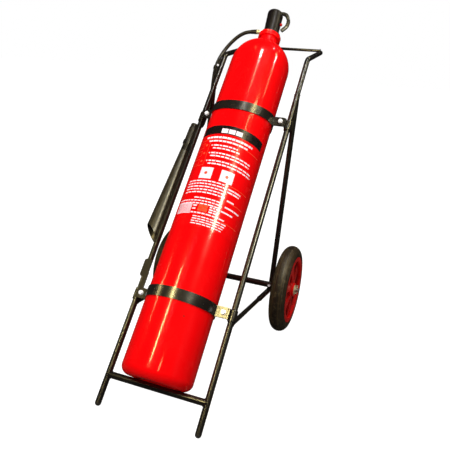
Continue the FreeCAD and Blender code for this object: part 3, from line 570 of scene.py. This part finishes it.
def tyre_rubber():
    rubber = base("tyre_rubber", (0.006, 0.003, 0.002), 0.5, specular=0.5)
    tint(rubber, scaled(rubber, noise(rubber, 9.0, 0.42, 0.66), 0.5), (0.034, 0.021, 0.010))
    tint(rubber, scaled(rubber, noise(rubber, 75.0, 0.54, 0.68), 0.5), (0.10, 0.075, 0.030))
    tint(rubber, scaled(rubber, tyre_rings(rubber), 0.5), (0.060, 0.036, 0.011))
    uneven_gloss(rubber, 30.0, 0.40, 0.6)
    return bumps(rubber, tyre_rings(rubber), 0.25, 0.0004)


def red_plastic():
    plastic = base("red_plastic", (0.66, 0.003, 0.003), 0.36, specular=0.15)
    tint(plastic, scaled(plastic, noise(plastic, 22.0, 0.45, 0.72), 0.55), (0.22, 0.008, 0.006))
    uneven_gloss(plastic, 45.0, 0.3, 0.5)
    return bumps(plastic, noise(plastic, 420.0, 0.2, 0.8, 3.0), 0.15, 0.0003)


# Depths across the wheel between which the painted shade in the spoke recesses grows.
WHEEL_FACE_X = 0.249
WHEEL_DEEP_X = 0.240


def wheel_plastic_painted_shade():
    """Red plastic with painted shade: darker deep between the spokes than on the wheel's outer face,
    where the recesses lie in shade.
    """
    plastic = red_plastic()
    tree = plastic.node_tree
    place = tree.nodes.new("ShaderNodeTexCoord")
    split = tree.nodes.new("ShaderNodeSeparateXYZ")
    side = tree.nodes.new("ShaderNodeMath")
    side.operation = "ABSOLUTE"
    # Painted shade: a mask that rises from the wheel's outer face towards its middle, deep in the
    # recesses between the spokes.
    recess_painted_shade = tree.nodes.new("ShaderNodeMapRange")
    recess_painted_shade.inputs["From Min"].default_value = WHEEL_FACE_X
    recess_painted_shade.inputs["From Max"].default_value = WHEEL_DEEP_X
    tree.links.new(place.outputs["Object"], split.inputs["Vector"])
    tree.links.new(split.outputs["X"], side.inputs[0])
    tree.links.new(side.outputs[0], recess_painted_shade.inputs["Value"])
    # Painted shade: a near-black red mixed over the plastic by that mask, so the recesses look
    # shaded.
    return tint(plastic, scaled(plastic, recess_painted_shade.outputs["Result"], 0.88), (0.05, 0.0012, 0.0012))


def metal(name, colour, low, high, grime, metallic=1.0):
    plate = base(name, colour, low, metallic=metallic)
    tint(plate, scaled(plate, noise(plate, 120.0, 0.5, 0.75), 0.6), grime)
    uneven_gloss(plate, 200.0, low, high)
    return bumps(plate, noise(plate, 900.0, 0.2, 0.8, 3.0, (1, 1, 8)), 0.1, 0.0002)


def ink(name, colour, shade):
    print_ink = base(name, colour, 0.3, specular=0.3)
    tint(print_ink, scaled(print_ink, noise(print_ink, 90.0, 0.4, 0.7), 0.5), shade)
    uneven_gloss(print_ink, 60.0, 0.22, 0.35)
    return print_ink


MATERIALS = {
    "cylinder_red": red_paint(),
    "label_print": red_paint("label_film", 0.5, 0.15),
    "cap_red": red_plastic(),
    "wheel_red": wheel_plastic_painted_shade(),
    "frame_black": black_enamel(),
    "strap_black": satin_black("strap_paint", (0.009, 0.007, 0.006), 0.22, 0.28, 600.0, 1.0),
    "shroud_black": satin_black("shroud_plastic", (0.007, 0.005, 0.005), 0.30, 0.42, 900.0, 0.22),
    "lever_black": satin_black("lever_paint", (0.012, 0.011, 0.010), 0.25, 0.4, 700.0),
    "grip_black": satin_black("grip_plastic", (0.016, 0.013, 0.009), 0.3, 0.5, 800.0),
    "horn_black": satin_black("horn_plastic", (0.016, 0.012, 0.007), 0.34, 0.46, 500.0, 1.0),
    "plug_black": satin_black("plug_plastic", (0.020, 0.018, 0.016), 0.4, 0.6, 700.0),
    "hose_rubber": satin_black("hose_rubber", (0.014, 0.012, 0.011), 0.32, 0.46, 900.0),
    "seal_rubber": satin_black("seal_rubber", (0.020, 0.020, 0.020), 0.5, 0.7, 900.0),
    "tyre": tyre_rubber(),
    "brass": metal("brass", (0.92, 0.80, 0.40), 0.2, 0.35, (0.50, 0.36, 0.12), 0.4),
    "zinc": metal("zinc", (0.96, 0.96, 1.0), 0.16, 0.3, (0.80, 0.80, 0.86), 0.12),
    "yellow_zinc": metal("yellow_zinc", (0.78, 0.70, 0.42), 0.2, 0.35, (0.40, 0.34, 0.20), 0.5),
    "steel": metal("steel", (0.62, 0.61, 0.60), 0.22, 0.4, (0.35, 0.32, 0.28)),
    "aluminium": metal("aluminium", (0.80, 0.81, 0.83), 0.3, 0.45, (0.60, 0.60, 0.60)),
    "bush_nylon": satin_black("bush_nylon", (0.70, 0.68, 0.62), 0.4, 0.6, 500.0),
}


def wear(piece, slot):
    piece.data.materials.clear()
    piece.data.materials.append(MATERIALS[slot])


for part in frame["record"]["subparts"]:
    wear(frame["nodes"][part["node"]], part["material_slot"])
for piece, slot in ((hose, "hose_rubber"), (sleeve_top, "hose_rubber"), (sleeve_low, "hose_rubber"),
                    (welds, "frame_black")):
    wear(piece, slot)
for piece, paint in ((print_white, ink("white_ink", (0.95, 0.82, 0.88), (0.95, 0.50, 0.62))),
                     (print_black, ink("black_ink", (0.007, 0.005, 0.005), (0.014, 0.010, 0.009))),
                     (print_orange, ink("orange_ink", (0.88, 0.055, 0.016), (0.90, 0.12, 0.05)))):
    piece.data.materials.append(paint)


# ---- floor, sky and lights ----
TROLLEY_MIDDLE = Vector((0, 0, 0.5))
WHITE = (1.0, 0.99, 0.95)
WARM = (1.0, 0.83, 0.36)
YELLOW = (1.0, 0.80, 0.34)


def add_floor():
    """A pale floor that is plain white to the camera and dim in the object's gloss."""
    bm = bmesh.new()
    bmesh.ops.create_grid(bm, x_segments=8, y_segments=8, size=9.0)
    mesh = bpy.data.meshes.new("floor")
    bm.to_mesh(mesh)
    bm.free()
    floor = in_scene("floor", mesh)
    pale = base("pale_floor", (0.30, 0.30, 0.30), 0.85, specular=0.1)
    tint(pale, scaled(pale, noise(pale, 1.5, 0.3, 0.7), 0.3), (0.27, 0.27, 0.27))
    tree = pale.node_tree
    path = tree.nodes.new("ShaderNodeLightPath")
    dim = tree.nodes.new("ShaderNodeBsdfDiffuse")
    dim.inputs["Color"].default_value = (0.04, 0.04, 0.035, 1)
    shader_of(pale).inputs["Emission Color"].default_value = (1, 1, 1, 1)
    tree.links.new(path.outputs["Is Camera Ray"], shader_of(pale).inputs["Emission Strength"])
    blend = tree.nodes.new("ShaderNodeMixShader")
    tree.links.new(path.outputs["Is Glossy Ray"], blend.inputs["Fac"])
    tree.links.new(shader_of(pale).outputs[0], blend.inputs[1])
    tree.links.new(dim.outputs[0], blend.inputs[2])
    tree.links.new(blend.outputs[0], tree.nodes["Material Output"].inputs["Surface"])
    mesh.materials.append(pale)


def add_world():
    """White all round to the camera, and dim in the paint's reflections."""
    world = bpy.data.worlds.new("studio")
    bpy.context.scene.world = world
    world.use_nodes = True
    tree = world.node_tree
    sky = tree.nodes["Background"]
    sky.inputs["Color"].default_value = (1, 1, 1, 1)
    path = tree.nodes.new("ShaderNodeLightPath")
    strength = tree.nodes.new("ShaderNodeMapRange")
    strength.inputs["To Min"].default_value = 0.26
    strength.inputs["To Max"].default_value = 0.02
    seen = tree.nodes.new("ShaderNodeMath")
    seen.operation = "MAXIMUM"
    tree.links.new(path.outputs["Is Glossy Ray"], strength.inputs["Value"])
    tree.links.new(strength.outputs["Result"], seen.inputs[0])
    tree.links.new(path.outputs["Is Camera Ray"], seen.inputs[1])
    tree.links.new(seen.outputs[0], sky.inputs["Strength"])


def strip_light(name, azimuth, distance, low, high, width, power, colour):
    """
    A narrow lamp parallel to the cylinder, which makes only a highlight. azimuth is in degrees
    from the cylinder's front, distance is from its axis, low and high are along the tubes,
    and power is in watts.
    """
    data = bpy.data.lights.new(name, "AREA")
    data.shape = "RECTANGLE"
    data.size = width
    data.size_y = high - low
    data.energy = power
    data.color = colour
    light = in_scene(name, data)
    angle = math.radians(azimuth)
    away = turn(math.sin(angle), -math.cos(angle), 0)
    across = UP.cross(away)
    place = at(distance * math.sin(angle), CYLINDER_N - distance * math.cos(angle), (low + high) / 2)
    light.matrix_world = Matrix.Translation(place) @ Matrix((across, UP, away)).transposed().to_4x4()
    light.visible_camera = False
    light.visible_diffuse = False


def soft_box(name, place, size, power, colour):
    """A broad light aimed at the middle of the trolley, which makes no highlight."""
    data = bpy.data.lights.new(name, "AREA")
    data.size = size
    data.energy = power
    data.color = colour
    data.specular_factor = 0.0
    light = in_scene(name, data)
    light.location = place
    light.rotation_mode = "QUATERNION"
    light.rotation_quaternion = (TROLLEY_MIDDLE - light.location).to_track_quat("-Z", "Y")
    light.visible_camera = False
    light.visible_glossy = False


add_floor()
add_world()
strip_light("middle_strip", 42, 2.6, 1.45, 2.65, 0.12, 13, WARM)
strip_light("middle_glare", 42, 2.6, 1.48, 1.98, 0.34, 60, (1.0, 0.93, 0.68))
strip_light("low_strip", -12, 2.6, 0.37, 0.84, 0.15, 18, YELLOW)
strip_light("step_strip", -12, 2.6, 0.94, 1.12, 0.12, 4.5, YELLOW)
strip_light("left_strip", -60, 2.6, 0.65, 1.15, 0.10, 3.0, YELLOW)
strip_light("front_spot", 10.4, 2.4, 3.13, 3.33, 0.26, 26, WHITE)
strip_light("front_tail", 10.4, 2.4, 2.75, 3.13, 0.12, 2.4, WARM)
strip_light("right_spot", 70, 2.4, 3.14, 3.26, 0.18, 7, WHITE)
strip_light("right_tail", 70, 2.4, 2.75, 3.14, 0.12, 2.0, WARM)
strip_light("high_spot", 69, 1.25, 3.97, 4.17, 0.26, 26, WHITE)
strip_light("strap_lamp", 50, 2.5, 2.62, 2.73, 0.50, 9, WARM)
strip_light("lower_strap_lamp", -13, 2.5, 0.84, 0.94, 0.32, 5, WARM)
strip_light("left_strap_lamp", -62, 2.5, 0.84, 0.94, 0.22, 2.5, WARM)
strip_light("neck_lamp", 14, 2.4, 3.52, 3.68, 0.16, 9, WHITE)
strip_light("base_lamp", 20, 2.5, 0.26, 0.38, 0.10, 1.2, YELLOW)
strip_light("far_lamp", -19, 2.2, 3.38, 3.52, 0.16, 4, WARM)
strip_light("back_lamp", 100, 1.43, 3.90, 4.06, 0.16, 4, WARM)
strip_light("shroud_lamp", 70, 2.2, 3.4, 3.8, 0.12, 8, WARM)
soft_box("front_box", (-0.1, -2.3, 3.3), 1.2, 112, (1.0, 0.98, 0.95))
soft_box("right_box", (3.0, -0.9, 1.4), 1.0, 6, (1.0, 0.98, 0.94))
soft_box("ceiling_box", (0.9, 0.3, 3.4), 1.2, 50, (1.0, 0.93, 0.74))

bpy.context.scene.view_settings.view_transform = "Standard"
bpy.context.scene.view_settings.look = "None"

bpy.context.view_layer.update()
